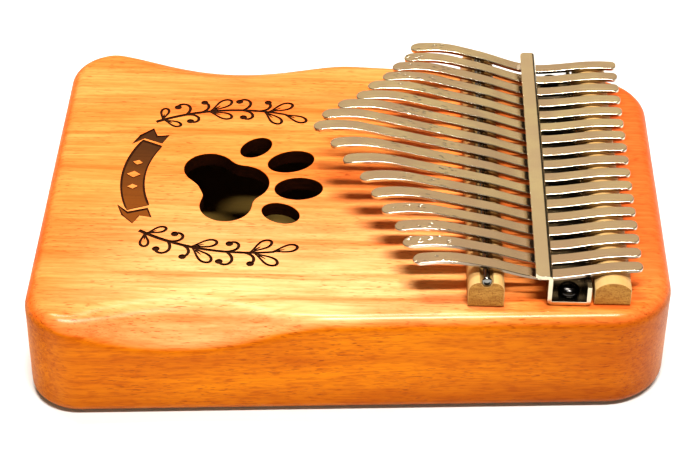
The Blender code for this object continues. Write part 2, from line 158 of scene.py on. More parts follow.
# Keys.
KEY_COUNT = 17
KEY_CENTRE_Y = 1 * MM
KEY_PITCH_AT_ROD = 6.56 * MM
KEY_HALF_WIDTH = 2.05 * MM
TIP_HALF_WIDTH = 2.3 * MM
KEY_THICKNESS = 1 * MM
KEY_ABOVE_ROD = TOP + 10.6 * MM
EDGE_BELOW = 0.15 * MM
EDGE_WIDTH = 0.26 * MM
EDGE_HEIGHT = 0.18 * MM
TIP_RADIUS = 2.3 * MM
TAIL_RADIUS = 1.8 * MM
TAIL_LENGTH = 44.2 * MM
TONGUE_SLOPE = 0.235
ARCH_LENGTH = 16 * MM
ARCH_RADIUS = 34 * MM
LONGEST_TONGUE = 50.4
FAR_STEPS = (2.3, 4.6, 5.5, 3.5, 4.5, 3.0, 3.7, 2.0)
NEAR_STEPS = (5.2, 3.9, 5.1, 3.4, 3.1, 3.8, 2.3, 2.9)
# Distance behind the rod, height and slope of a key's underside, against where it crosses the rod.
TAIL_STOPS = ((0, 0, -0.235), (18, -4.4, 0), (35.8, -2.1, 0.10), (44.2, -1.8, 0.01))
FORMING_MARKS = (12 * MM, 30 * MM)

# Engraved wreath.
BURN_DEPTH = 0.3 * MM
LINE_WIDTH = 0.95 * MM
RIBBON_LINE_WIDTH = 0.65 * MM
STEM_WIDTHS = (1.3, 0.9)
STEM_STEPS = 40
LEVEL_DROP = 0.004 * MM
LEVEL_RISE = 0.01 * MM
LEAF_POINTS = 26
LEAF_HALF_WIDTH = 0.25
# Along a leaf's vein, as (share of its length, width in millimetres).
VEIN = ((0.20, 0.7), (0.30, 0.6), (0.42, 0.45), (0.52, 0.20))
BUD_RADIUS = 1.15 * MM
CURL_POWER = 1.8
CURL_STEPS = 22
# The ribbon follows an arc about its own centre: its band as inner and outer radius and the angles it
# ends at, and a swallow-tailed end as (radius, degrees past the end of the band).
RIBBON_CENTRE = (-28, -0.3)
RIBBON_BAND = (35.6, 42.4, 153.2, 202.2)
RIBBON_TAIL = ((44.4, -4.0), (44.4, 2.4), (43.2, 9.0), (39.9, 5.5), (37.2, 9.2), (36.5, 2.5), (42.6, 1.8))
# Three lozenges stand in the ribbon, as (degrees, size), each with these corners.
LOZENGES = ((168.7, 0.75), (177.7, 1.0), (186.7, 0.75))
LOZENGE_CORNERS = ((-2.1, 0), (0, 2.3), (2.1, 0), (0, -2.3))
# Each sprig's side, the centre and radius of the arc it follows, and the angles it runs between.
SPRIGS = ((1, (-36, -16.5), 52.5, 120.5, 74.5), (-1, (-31, 22.5), 58.0, -123.0, -81.5))
# What grows on a sprig: share of the way along it, +1 outwards or -1 inwards, length, lean away from
# the sprig, and how far a curl turns, which is 0 for a leaf.
SPRIG = (
    (0.05, 1, 6.3, 56, 0),
    (0.06, -1, 6.3, 56, 0),
    (0.24, 1, 9.8, 42, 215),
    (0.23, -1, 9.4, 12, 240),
    (0.29, 1, 9.5, -6, 150),
    (0.41, -1, 8.0, 34, 0),
    (0.42, 1, 8.8, 34, 0),
    (0.67, 1, 9.8, 42, 215),
    (0.66, -1, 9.4, 12, 240),
    (0.73, 1, 9.5, -6, 150),
    (0.83, -1, 8.2, 42, 0),
    (0.86, 1, 8.6, 40, 0),
)
# The leaf at the end of each sprig: share, length and lean.
LAST_LEAF = (0.98, 8.0, 12)

# Camera, with its angles in degrees.
CAMERA_PLACE = (6.15 * MM, -509.63 * MM, 419.72 * MM)
CAMERA_DOWN = 38.57
CAMERA_ROLL = 0.745
CAMERA_YAW = 0.79
CAMERA_LENS = 108.25
SENSOR_WIDTH = 36

# Light panels: name, place, aim, size, power and colour. The two strips overhead draw the bands of
# shadow under the keys.
WHITE = (1.0, 0.98, 0.95)
WARM = (1.0, 0.78, 0.50)
PANELS = (
    ("front_strip", (0.15, -0.37, 1.14), (0.15, 0, 0), (0.50, 0.07), 13.0, WHITE),
    ("rear_strip", (-0.12, 0.14, 1.14), (-0.12, 0, 0), (0.50, 0.07), 9.5, WHITE),
    ("back_panel", (0, 1.6, 1.25), (0, 0, 0), (2.3, 1.1), 5.4, WARM),
    ("front_panel", (0, -1.8, 0.8), (0, 0, 0), (2.6, 0.9), 6.0, WARM),
    ("left_panel", (-1.8, 0, 0.9), (0, 0, 0), (2.0, 0.9), 1.0, WARM),
    ("right_panel", (1.8, 0, 0.9), (0, 0, 0), (2.0, 0.9), 0.8, WARM),
)
WORLD_COLOUR = (1.0, 0.82, 0.60, 1)
WORLD_STRENGTH = 0.04
FLOOR_DROP = 0.2 * MM
FLOOR_RADII = (0.3, 1.0, 4.0)
FLOOR_POINTS = 96


# ---- mesh helpers


def face_outwards(mesh, merged=False):
    """Turns every face outwards, and may first merge vertices that lie on each other."""
    bm = bmesh.new()
    bm.from_mesh(mesh)
    if merged:
        bmesh.ops.remove_doubles(bm, verts=bm.verts, dist=0.001 * MM)
    bmesh.ops.recalc_face_normals(bm, faces=bm.faces)
    bm.to_mesh(mesh)
    bm.free()


def add_mesh(name, vertices, faces, *materials):
    mesh = bpy.data.meshes.new(name)
    mesh.from_pydata([tuple(v) for v in vertices], [], [tuple(f) for f in faces])
    for finish in materials:
        mesh.materials.append(finish)
    obj = bpy.data.objects.new(name, mesh)
    bpy.context.scene.collection.objects.link(obj)
    face_outwards(mesh)
    return obj


def loft(rings, capped=True):
    """Vertices and faces of a tube through rings of equally many points."""
    count = len(rings[0])
    vertices = [point for ring in rings for point in ring]
    faces = []
    for level in range(len(rings) - 1):
        low, high = level * count, (level + 1) * count
        for i in range(count):
            j = (i + 1) % count
            faces.append((low + i, low + j, high + j, high + i))
    if capped:
        faces.append(tuple(reversed(range(count))))
        faces.append(tuple(range(len(vertices) - count, len(vertices))))
    return vertices, faces


def join_parts(parts):
    """One list of vertices and faces from several."""
    vertices, faces = [], []
    for some_vertices, some_faces in parts:
        start = len(vertices)
        vertices.extend(some_vertices)
        faces.extend(tuple(start + i for i in face) for face in some_faces)
    return vertices, faces


def stacked(levels, capped=True):
    """A tube through (outline, height) pairs."""
    return loft([[(x, y, z) for x, y in outline] for outline, z in levels], capped)


def prism(outline, bottom, top):
    return stacked([(outline, bottom), (outline, top)])


def turned(x, y, profile, count):
    """A round piece about an upright line, from (radius, height) pairs."""
    return stacked([(circle(x, y, radius, count), z) for radius, z in profile])


def apply_modifiers(obj):
    graph = bpy.context.evaluated_depsgraph_get()
    mesh = bpy.data.meshes.new_from_object(obj.evaluated_get(graph))
    obj.modifiers.clear()
    obj.data = mesh


def cut(target, *cutters, overlapping=False):
    """Takes each cutter away from the target, in order, and leaves the cutter's finish on the cut."""
    for cutter in cutters:
        boolean = target.modifiers.new("Cut", "BOOLEAN")
        boolean.operation = "DIFFERENCE"
        boolean.solver = "EXACT"
        boolean.object = cutter
        boolean.material_mode = "TRANSFER"
        boolean.use_self = overlapping
    apply_modifiers(target)
    for cutter in cutters:
        bpy.data.objects.remove(cutter)


def soften(obj, bevel=0.0, segments=2, sharp=35):
    """Rounds hard edges, and shades what is left smooth up to a sharp angle in degrees."""
    if bevel:
        rounding = obj.modifiers.new("Bevel", "BEVEL")
        rounding.width = bevel
        rounding.segments = segments
        rounding.limit_method = "ANGLE"
        rounding.angle_limit = math.radians(40)
        apply_modifiers(obj)
    obj.data.shade_smooth()
    obj.data.set_sharp_from_angle(angle=math.radians(sharp))
    weighted = obj.modifiers.new("Weighted", "WEIGHTED_NORMAL")
    weighted.keep_sharp = True
    apply_modifiers(obj)


def quarter(steps):
    """Angles from 0 to a right angle, with both ends."""
    return [math.pi / 2 * i / steps for i in range(steps + 1)]


def rounded(width, steps, height=None):
    """Up over an edge, from its side to its top, as (inset, distance below the top)."""
    height = width if height is None else height
    return [(width * (1 - math.cos(turn)), height * (1 - math.sin(turn))) for turn in quarter(steps)]


def circle(x, y, radius, count):
    turns = [2 * math.pi * i / count for i in range(count)]
    return [(x + radius * math.cos(turn), y + radius * math.sin(turn)) for turn in turns]


def grown(outline, distance):
    """A smooth closed outline moved outwards, for outlines that run anticlockwise."""
    moved = []
    for i, (x, y) in enumerate(outline):
        before, after = outline[i - 1], outline[(i + 1) % len(outline)]
        run = Vector((after[0] - before[0], after[1] - before[1])).normalized()
        moved.append((x + run.y * distance, y - run.x * distance))
    return moved


def both_sides(points, widths, closed=False):
    """The left and right borders of a line that is so wide at each of its points."""
    last = len(points) - 1
    left, right = [], []
    for i, point in enumerate(points):
        before = points[i - 1] if closed or i else point
        after = points[(i + 1) % len(points)] if closed or i < last else point
        run = (after - before).normalized()
        side = Vector((-run.y, run.x)) * widths[i] / 2
        left.append(point + side)
        right.append(point - side)
    return left, right


def settle(obj, node):
    """Fixes a finished piece to the soundbox, in place of its node."""
    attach(obj, "soundbox")
    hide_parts(node)


# ---- materials


class Value:
    """A number that a node gives out. It can be added, multiplied and made into a band."""

    def __init__(self, finish, socket):
        self.finish = finish
        self.socket = socket

    def __add__(self, other):
        return self.finish.math("ADD", self, other)

    def __mul__(self, other):
        return self.finish.math("MULTIPLY", self, other)

    def __abs__(self):
        return self.finish.math("ABSOLUTE", self)

    __radd__ = __add__
    __rmul__ = __mul__

    def band(self, start, end):
        """0 before start and 1 after end, smooth between them. It also runs downwards."""
        ends = {"From_Min": min(start, end), "From_Max": max(start, end)}
        if start > end:
            ends.update(To_Min=1.0, To_Max=0.0)
        made = self.finish.add("MapRange", {"interpolation_type": "SMOOTHSTEP"}, Value=self, **ends)
        return Value(self.finish, made.outputs[0])


class Finish:
    """A Principled material with short calls that add its texture nodes and join them."""

    def __init__(self, name, **sockets):
        self.material = bpy.data.materials.new(name)
        self.material.use_nodes = True
        self.tree = self.material.node_tree
        self.shader = self.tree.nodes["Principled BSDF"]
        self.set(**sockets)
        self.place = self.tree.nodes.new("ShaderNodeTexCoord").outputs["Object"]
        normal = self.tree.nodes.new("ShaderNodeNewGeometry").outputs["Normal"]
        self.x, self.y, self.z = self.split(self.place)
        self.facing_x, self.facing_y, self.facing_z = self.split(normal)

    def split(self, vector):
        return [Value(self, part) for part in self.add("SeparateXYZ", Vector=vector).outputs]

    def set(self, **sockets):
        for name, value in sockets.items():
            self.feed(self.shader.inputs[name.replace("_", " ")], value)

    def feed(self, socket, value):
        if isinstance(value, Value):
            value = value.socket
        if isinstance(value, bpy.types.NodeSocket):
            self.tree.links.new(value, socket)
        else:
            socket.default_value = value

    def add(self, kind, settings=(), **inputs):
        node = self.tree.nodes.new("ShaderNode" + kind)
        for name, value in dict(settings).items():
            setattr(node, name, value)
        for name, value in inputs.items():
            self.feed(node.inputs[name.replace("_", " ")], value)
        return node

    def noise(self, per_metre, detail=2.0, offset=(0, 0, 0), **inputs):
        """Noise from 0 to 1 with this many cells per metre along x, y and z."""
        placed = self.add("Mapping", Vector=self.place, Scale=per_metre, Location=offset)
        inputs.update(Vector=placed.outputs[0], Scale=1.0, Detail=detail)
        return Value(self, self.add("TexNoise", **inputs).outputs[0])

    def cells(self, per_metre):
        """Distance from the middle of each scattered cell, in cells."""
        placed = self.add("Mapping", Vector=self.place, Scale=per_metre)
        made = self.add("TexVoronoi", Vector=placed.outputs[0], Scale=1.0)
        return Value(self, made.outputs["Distance"])

    def math(self, operation, a, b=0.0):
        node = self.add("Math", {"operation": operation})
        self.feed(node.inputs[0], a)
        self.feed(node.inputs[1], b)
        return Value(self, node.outputs[0])

    def mix(self, share, a, b, blend="MIX"):
        node = self.add("Mix", {"data_type": "RGBA", "blend_type": blend})
        self.feed(node.inputs[0], share)
        for socket, value in ((node.inputs[6], a), (node.inputs[7], b)):
            self.feed(socket, (*value, 1.0) if isinstance(value, tuple) else value)
        return node.outputs[2]

    def darken(self, share, colour, tint):
        return self.mix(share, colour, tint, "MULTIPLY")

    def ramp(self, value, *stops):
        node = self.add("ValToRGB", Fac=value)
        elements = node.color_ramp.elements
        while len(elements) < len(stops):
            elements.new(0.5)
        for element, (place, colour) in zip(elements, stops):
            element.position = place
            element.color = (*colour, 1.0)
        return node.outputs[0]

    def bump(self, height, depth, strength):
        """A normal for a height from 0 to 1 that stands for this depth in metres."""
        return self.add("Bump", Height=height, Distance=depth, Strength=strength).outputs[0]


def grain(finish, streak_length, streak_width):
    """Long fibres along X, and short dark pores, each from 0 to 1."""
    along = 1 / streak_length
    across = 1 / streak_width
    fibre = finish.noise((along, across, across), 5, Roughness=0.6)
    dashes = finish.noise((along * 7, across * 3.2, across * 3.2), 1.5, (3, 7, 1))
    patches = finish.noise((along, across / 8, across / 8), 1, (9, 2, 5))
    return fibre, dashes.band(0.60, 0.70) * patches.band(0.30, 0.60)


def make_box_lacquer():
    """Light orange wood under clear lacquer: pale on the top, deep orange on the sides, redder at the tail
    end and round the player's end, and glossiest on the near rim. The near part of the top carries a
    painted pool of light. The tail end's red is partly painted shade. The sides carry painted shade
    towards the tail and towards the floor, and the bottom edge carries a painted contact shadow."""
    wood = Finish("lacquered_wood", Coat_Roughness=0.22, Coat_IOR=1.45)
    wood.set(Specular_Tint=(1.0, 0.60, 0.12, 1.0))
    fibre, pores = grain(wood, 22 * MM, 1.1 * MM)
    bands = wood.noise((5, 75, 75), 3, Distortion=0.4)
    figure = wood.noise((16, 60, 60), 2, (4, 4, 4))
    top = wood.ramp(
        bands,
        (0.30, (0.86, 0.210, 0.040)),
        (0.48, (0.88, 0.300, 0.072)),
        (0.66, (0.90, 0.385, 0.115)),
    )
    side = wood.ramp(
        bands,
        (0.30, (0.60, 0.150, 0.0004)),
        (0.50, (0.73, 0.218, 0.0005)),
        (0.70, (0.85, 0.285, 0.0007)),
    )
    # Painted light: a paler pool over the near part of the top, standing in for the brighter light and
    # sheen there.
    near = wood.y.band(15 * MM, -66 * MM) * wood.x.band(55 * MM, 5 * MM) * wood.x.band(-100 * MM, -35 * MM)
    top = wood.mix(near * 0.80, top, (0.94, 0.62, 0.30))
    red_streaks = wood.noise((9, 210, 210), 3, (1, 1, 1)).band(0.54, 0.70)
    top = wood.mix(red_streaks * 0.62, top, (0.88, 0.165, 0.024))
    # The tail end is redder and darker: partly the wood's stain, partly painted shade where less light
    # falls.
    tail = wood.x.band(60 * MM, 88 * MM) * wood.y.band(-70 * MM, -30 * MM)
    top = wood.mix(tail * 0.90, top, (0.86, 0.145, 0.032))
    top = wood.mix(figure.band(0.46, 0.70) * 0.48, top, (0.90, 0.185, 0.040))
    scooped = wood.facing_z.band(0.97, 0.85) * wood.z.band(TOP, TOP - 3 * MM)
    top = wood.mix(scooped * (figure + 0.1), top, (0.94, 0.205, 0.075))
    top = wood.mix(wood.facing_x.band(-0.25, -0.65) * 0.60, top, (0.88, 0.135, 0.012))
    # Painted shade: the sides darken towards the tail, where less light falls on them.
    side = wood.darken(wood.x.band(-10 * MM, 85 * MM) * 0.80, side, (0.66, 0.50, 0.30))
    upright = wood.facing_z.band(0.90, 0.25)
    colour = wood.mix(upright, top, side)
    # Painted shade: the sides darken down towards the floor, standing in for occlusion near the contact.
    painted_low_shade = wood.z.band(17 * MM, 1 * MM) * upright
    colour = wood.darken(painted_low_shade * 0.45, colour, (0.62, 0.56, 0.30))
    # Painted contact shadow: the bottom edge is darkened where it meets the floor.
    underside = wood.z.band(2.5 * MM, 0.5 * MM)
    colour = wood.darken(underside * 0.8, colour, (0.25, 0.20, 0.10))
    colour = wood.darken(fibre.band(0.35, 0.65) * 0.48, colour, (0.72, 0.50, 0.30))
    fine = wood.noise((220, 1500, 1500), 2, (6, 6, 6)).band(0.45, 0.70)
    colour = wood.darken(fine * (upright * 0.4 + 0.28), colour, (0.74, 0.55, 0.35))
    colour = wood.darken(pores * 0.75, colour, (0.46, 0.22, 0.10))
    wood.set(Base_Color=colour, Roughness=fibre * 0.16 + 0.34)
    wood.set(Normal=wood.bump(fibre * 0.3 + pores * -0.7, 0.06 * MM, 0.6))
    near_scoop = SCOOPS[1][1]
    past_scoop = abs(wood.x + -near_scoop).band(22 * MM, 44 * MM)
    rim = wood.facing_y.band(-0.12, -0.40) * wood.facing_z.band(0.30, 0.60)
    wood.set(Coat_Weight=rim * (past_scoop * 0.42 + 0.08) + 0.03)
    away = wood.math("MAXIMUM", wood.facing_y.band(0.05, 0.30), wood.facing_x.band(-0.30, -0.60))
    wood.set(Specular_IOR_Level=away * -0.25 + 0.3)
    ripple = wood.noise((160, 320, 320), 1.5)
    wood.set(Coat_Normal=wood.bump(ripple, 0.03 * MM, 0.5))
    return wood.material


def make_burnt_wood(name, deep, light):
    """Laser-burnt wood: brown to black, dull, with the fibres still showing."""
    burnt = Finish(name, Specular_IOR_Level=0.10)
    fibre, pores = grain(burnt, 12 * MM, 0.8 * MM)
    soot = burnt.noise((500, 500, 500), 3)
    colour = burnt.ramp(fibre, (0.30, deep), (0.70, light))
    colour = burnt.mix(soot * 0.5, colour, (0.012, 0.004, 0.001))
    burnt.set(Base_Color=colour, Roughness=soot * 0.3 + 0.60)
    burnt.set(Normal=burnt.bump(fibre + pores, 0.08 * MM, 0.7))
    return burnt.material


def make_toasted_wood():
    """The ribbon's ground: wood scorched to a warm brown, darker towards its far end."""
    toasted = Finish("toasted_wood", Specular_IOR_Level=0.15)
    fibre, pores = grain(toasted, 14 * MM, 0.9 * MM)
    near = toasted.y.band(26 * MM, -26 * MM) + toasted.noise((90, 90, 90), 3) * 0.3
    colour = toasted.ramp(near, (0.15, (0.070, 0.024, 0.005)), (1.0, (0.23, 0.066, 0.005)))
    colour = toasted.darken(fibre * 0.5, colour, (0.35, 0.30, 0.26))
    toasted.set(Base_Color=colour, Roughness=fibre * 0.25 + 0.50)
    toasted.set(Normal=toasted.bump(fibre + pores, 0.08 * MM, 0.7))
    return toasted.material


def make_raw_wood(name, light, dark, roughness, inner=None):
    """Wood with its fibres along X, and another colour on faces that look up into the box."""
    raw = Finish(name)
    fibre, pores = grain(raw, 22 * MM, 1.1 * MM)
    colour = raw.ramp(raw.noise((8, 110, 110), 3), (0.30, dark), (0.70, light))
    if inner:
        colour = raw.mix(raw.facing_z.band(0.5, 0.9), colour, inner)
    colour = raw.darken(fibre * 0.35, colour, (0.55, 0.45, 0.35))
    colour = raw.darken(pores * 0.5, colour, (0.35, 0.25, 0.18))
    raw.set(Base_Color=colour, Roughness=fibre * 0.2 + roughness)
    raw.set(Normal=raw.bump(fibre + pores * -1.0, 0.10 * MM, 0.6))
    return raw.material


def make_maple():
    """The saddles: fibres along Y, so the sawn ends show dark, speckled end grain."""
    maple = Finish("oiled_maple", Specular_IOR_Level=0.25)
    fibre = maple.noise((900, 60, 900), 4, Roughness=0.6)
    bands = maple.noise((140, 9, 140), 2, Distortion=0.5)
    rings = maple.noise((260, 12, 900), 3, (2, 2, 2), Distortion=0.8)
    specks = maple.noise((2600, 300, 2600), 2)
    colour = maple.ramp(bands, (0.30, (0.62, 0.36, 0.12)), (0.70, (0.68, 0.46, 0.20)))
    colour = maple.darken(fibre * 0.4, colour, (0.62, 0.50, 0.36))
    end = maple.ramp(rings, (0.32, (0.34, 0.160, 0.026)), (0.68, (0.52, 0.29, 0.062)))
    end = maple.mix(specks.band(0.50, 0.66) * 0.7, end, (0.24, 0.090, 0.016))
    sawn = abs(maple.facing_y).band(0.75, 0.95)
    maple.set(Base_Color=maple.mix(sawn, colour, end), Roughness=fibre * 0.2 + 0.42)
    maple.set(Normal=maple.bump(fibre * 0.6 + specks * sawn, 0.08 * MM, 0.7))
    return maple.material


def make_steel(name, tint, worn_tint, roughness, brushed):
    """Metal with a brushed grain of so many cells per metre. Returns its finish, colour and relief."""
    steel = Finish(name, Metallic=1.0)
    brush = steel.noise(brushed, 3, Roughness=0.7)
    cloud = steel.noise((60, 60, 60), 3)
    smears = steel.noise((120, 300, 300), 3, (5, 5, 5))
    colour = steel.mix(cloud.band(0.35, 0.65), tint, worn_tint)
    colour = steel.mix(smears.band(0.50, 0.72) * 0.45, colour, worn_tint)
    steel.set(Base_Color=colour, Roughness=(brush * 0.08 + smears * 0.06) + roughness)
    relief = brush * 0.05 + cloud * 0.5
    steel.set(Normal=steel.bump(relief, 0.05 * MM, 0.7))
    return steel, colour, relief


def make_key_steel():
    """Spring steel with small forming marks that are also painted bright as a glint, a painted mauve
    reflection towards the near side, and painted shade on its side walls towards the tails."""
    tints = ((0.76, 0.70, 0.53), (0.64, 0.55, 0.46))
    steel, colour, relief = make_steel("spring_steel", *tints, 0.13, (40, 2500, 2500))
    start, end = FORMING_MARKS
    fade = 4 * MM
    where = steel.x.band(start - fade, start + fade) * steel.x.band(end + fade, end - fade)
    where *= steel.noise((150, 150, 150), 1, (8, 1, 3)).band(0.46, 0.56)
    # Forming marks: real marks pressed into the steel, also painted bright as a glint.
    marks_and_glints = steel.cells((340, 1100, 1100)).band(0.30, 0.14) * where
    # Painted shade: the keys' side walls are made dark towards the tails, for the shade between
    # neighbouring keys.
    wall = abs(steel.facing_y).band(0.78, 0.94) * steel.x.band(20 * MM, 30 * MM)
    # Painted reflection: a mauve cast on the keys towards the near side.
    colour = steel.mix(steel.y.band(10 * MM, -55 * MM) * 0.6, colour, (0.62, 0.50, 0.42))
    colour = steel.mix(marks_and_glints * 0.5, colour, (0.95, 0.90, 0.76))
    colour = steel.mix(wall * 0.85, colour, (0.20, 0.16, 0.11))
    steel.set(Base_Color=colour, Normal=steel.bump(relief + marks_and_glints * -7.0, 0.05 * MM, 0.35))
    return steel.material


def make_bracket_steel():
    """Plated steel with painted shade down in the channel, and a cream colour on the sheared ends, which
    stand bright against that painted shade.
    """
    tints = ((0.81, 0.76, 0.58), (0.75, 0.67, 0.55))
    steel, colour, _ = make_steel("plated_steel", *tints, 0.12, (2500, 40, 2500))
    sheared = steel.facing_y.band(-0.45, -0.85)
    # Painted shade: the channel is made dark below the keys.
    deep = steel.z.band(TOP + 9 * MM, TOP + 6.5 * MM)
    colour = steel.mix(deep * 0.90, colour, (0.10, 0.085, 0.06))
    steel.set(Base_Color=steel.mix(sheared * 0.9, colour, (0.62, 0.55, 0.40)))
    return steel.material


def make_floor_finish():
    """White paper, lit a little from within so that its shadows stay soft."""
    paper = Finish("white_paper")
    cloud = paper.noise((3, 3, 3), 2)
    colour = paper.ramp(cloud, (0.3, (0.90, 0.90, 0.90)), (0.7, (0.93, 0.93, 0.93)))
    paper.set(Base_Color=colour, Roughness=cloud * 0.1 + 0.7)
    paper.set(Emission_Color=(0.94, 0.97, 1.0, 1.0), Emission_Strength=0.02)
    return paper.material


# ---- soundbox


def half_width(x):
    return WALL_SLOPE * (APEX_X - x)


def box_outline(inset, arc=20, side=130, end=36):
    """The plan outline moved inwards, with equally many points whatever the inset."""
    narrow = inset * math.hypot(1, WALL_SLOPE)
    ends = (-LENGTH / 2 + inset, LENGTH / 2 - inset)
    wide, slim = (half_width(x) - narrow for x in ends)
    spots = ((ends[0], -wide), (ends[1], -slim), (ends[1], slim), (ends[0], wide))
    corners = [Vector(spot) for spot in spots]
    player = max(PLAYER_CORNER - inset, LEAST_CORNER)
    tail = max(TAIL_CORNER - inset, LEAST_CORNER)
    arcs = []
    for i, radius in enumerate((player, tail, tail, player)):
        back = (corners[i - 1] - corners[i]).normalized()
        ahead = (corners[(i + 1) % 4] - corners[i]).normalized()
        half = back.angle(ahead) / 2
        centre = corners[i] + (back + ahead).normalized() * radius / math.sin(half)
        start = corners[i] + back * radius / math.tan(half) - centre
        sweep = math.pi - 2 * half
        turned = [Matrix.Rotation(sweep * k / (arc - 1), 2) @ start for k in range(arc)]
        arcs.append([centre + point for point in turned])
    outline = []
    for i, points in enumerate(arcs):
        outline.extend(points)
        steps = (side, end, side, end)[i]
        following = arcs[(i + 1) % 4][0]
        outline.extend(points[-1].lerp(following, k / steps) for k in range(1, steps))
    return [(point.x, point.y) for point in outline]


def press_scoops(points):
    """Moves points onto the two scoop cylinders, with a soft border all round."""
    points = np.array(points)
    for side, middle, inward, down in SCOOPS:
        edge = np.array((middle, side * half_width(middle), TOP))
        outward = np.array((0, side * down, inward)) / math.hypot(inward, down)
        depth = inward * down / math.hypot(inward, down)
        centre = edge + outward * (SCOOP_RADIUS - depth)
        along = np.clip(points[:, 0] - middle, -SCOOP_RADIUS, SCOOP_RADIUS)
        past = (points - centre) @ outward + np.sqrt(SCOOP_RADIUS**2 - along**2)
        lifted = np.clip((points[:, 2] - (TOP - down)) / (down - SOFTENING_MARGIN), 0, 1)
        softness = SOFT_ON_SIDE + (SOFT_ON_TOP - SOFT_ON_SIDE) * lifted
        soft = np.clip(past + softness, 0, None) ** 2 / (4 * softness)
        travel = np.where(past > softness, past, soft)
        points = points - travel[:, None] * outward
    return points


def box_rings():
    """Rings up the outside of the box, as (inset, height)."""
    levels = [(inset, height) for height, inset in rounded(BOTTOM_EDGE_RADIUS, BOTTOM_RINGS)[:-1]]
    wall = np.linspace(BOTTOM_EDGE_RADIUS, TOP - TOP_EDGE_RADIUS, WALL_RINGS)
    levels.extend((0.0, height) for height in wall[:-1])
    levels.extend((inset, TOP - drop) for inset, drop in rounded(TOP_EDGE_RADIUS, TOP_RINGS))
    cap = np.linspace(TOP_EDGE_RADIUS, CAP_INSET, CAP_RINGS)
    levels.extend((inset, TOP) for inset in cap[1:])
    return levels


def pad_outline(count=72):
    """Where a smooth blend of the pad's lobes ends, along rays from the pad's centre."""

    def outside(x, y):
        distance = math.inf
        for lobe in PAD_LOBES:
            lobe_x, lobe_y, radius = (value * MM for value in lobe)
            here = math.hypot(x - lobe_x, y - lobe_y) - radius
            blend = max(PAD_BLEND - abs(distance - here), 0) / PAD_BLEND
            distance = min(distance, here) - blend * blend * PAD_BLEND / 4
        return distance > 0

    outline = []
    for i in range(count):
        turn = 2 * math.pi * i / count
        near, far = 0.0, PAD_REACH
        for _ in range(HALVINGS):
            reach = (near + far) / 2
            x = PAD_CENTRE[0] + reach * math.cos(turn)
            y = PAD_CENTRE[1] + reach * math.sin(turn)
            near, far = (near, reach) if outside(x, y) else (reach, far)
        outline.append((x, y))
    return outline


def toe_outline(x, y, half_long, half_wide, degrees, count=44):
    turn = Matrix.Rotation(math.radians(degrees), 2)
    centre = Vector((x, y))
    ring = [turn @ Vector((half_long * u, half_wide * v)) + centre for u, v in circle(0, 0, 1, count)]
    return [(point.x * MM, point.y * MM) for point in ring]


def flared_hole(outline, bottom, top, rim):
    """A cutter for a hole whose upper edge is rounded over."""
    levels = [(outline, bottom)]
    levels += [(grown(outline, inset), top - drop) for inset, drop in rounded(rim, 4)]
    return stacked(levels + [(grown(outline, rim), top + PAST)])


def make_soundbox(lacquer, burnt, engraved, toasted, raw):
    """One piece of wood, hollowed from below, with its sound hole, pilot holes and engraving."""
    vertices, faces = stacked([(box_outline(inset + TRIM), z) for inset, z in box_rings()])
    box = add_mesh("soundbox", press_scoops(vertices), faces, lacquer)

    wide = box_outline(RIM_WIDTH, 6, 2, 2)
    slim = box_outline(WALL_THICKNESS, 6, 2, 2)
    rebate = PLATE_TOP + GAP
    levels = ((wide, -PAST), (wide, rebate), (slim, rebate), (slim, TOP - TOP_THICKNESS))
    hollow = add_mesh("hollow", *stacked(levels), raw)

    low = TOP - HOLE_DEPTH
    holes = [flared_hole(pad_outline(), low, TOP, RIM_RADIUS)]
    holes += [flared_hole(toe_outline(*toe), low, TOP, RIM_RADIUS) for toe in TOES]
    for node in SCREW_NODES:
        x, y = screw_place(node)
        holes.append(prism(circle(x, y, SHANK_RADIUS + GAP, 24), TOP - PILOT_DEPTH, TOP + PAST))
    holes = add_mesh("holes", *join_parts(holes), burnt, lacquer)
    # The walls are burnt. The rounded rims, which neither stand upright nor lie flat, are lacquered.
    for face in holes.data.polygons:
        face.material_index = 1 if 0.05 < abs(face.normal.z) < 0.99 else 0
    ribbon = make_ribbon_cutter(toasted)
    lines = add_mesh("lines", *join_parts(ribbon_strokes() + wreath_strokes()), engraved)
    cut(box, hollow, holes)
    cut(box, ribbon)
    cut(box, lines, overlapping=True)
    soften(box)
    settle(box, "soundbox_shell")


# ---- engraving


def polar(radius, degrees, centre=RIBBON_CENTRE):
    """A point in metres, from millimetres and degrees about a centre in millimetres."""
    turn = math.radians(degrees)
    return Vector((centre[0] + radius * math.cos(turn), centre[1] + radius * math.sin(turn))) * MM


def stroke(points, widths, level, closed=False):
    """A groove along points. Each stroke's level sets its floor, so that no two floors coincide."""
    bottom = TOP - BURN_DEPTH - level * LEVEL_DROP
    top = TOP + PAST + level * LEVEL_RISE
    rings = []
    for a, b in zip(*both_sides(points, widths, closed)):
        rings.append([(a.x, a.y, bottom), (b.x, b.y, bottom), (b.x, b.y, top), (a.x, a.y, top)])
    if closed:
        rings.append(rings[0])
        vertices, faces = loft(rings, capped=False)
        keep = len(vertices) - 4
        faces = [tuple(i % keep for i in face) for face in faces]
        return vertices[:keep], faces
    return loft(rings)


def leaf(root, direction, length, level):
    """A teardrop outline, round at its far end, with a short vein from its root."""
    turn = Matrix.Rotation(math.radians(direction), 2)
    outline, widths = [], []
    for i in range(LEAF_POINTS):
        angle = 2 * math.pi * i / LEAF_POINTS
        along = (1 - math.cos(angle)) / 2
        across = LEAF_HALF_WIDTH * math.sin(angle) * math.sin(math.pi * along**1.5 / 2 + 0.08)
        outline.append(root + turn @ Vector((along * length, across * length)))
        widths.append(LINE_WIDTH * (0.55 + 0.45 * along))
    vein = [root + turn @ Vector((length * share, 0)) for share, _ in VEIN]
    vein_widths = [width * MM for _, width in VEIN]
    return [stroke(outline, widths, level, closed=True), stroke(vein, vein_widths, level + 1)]


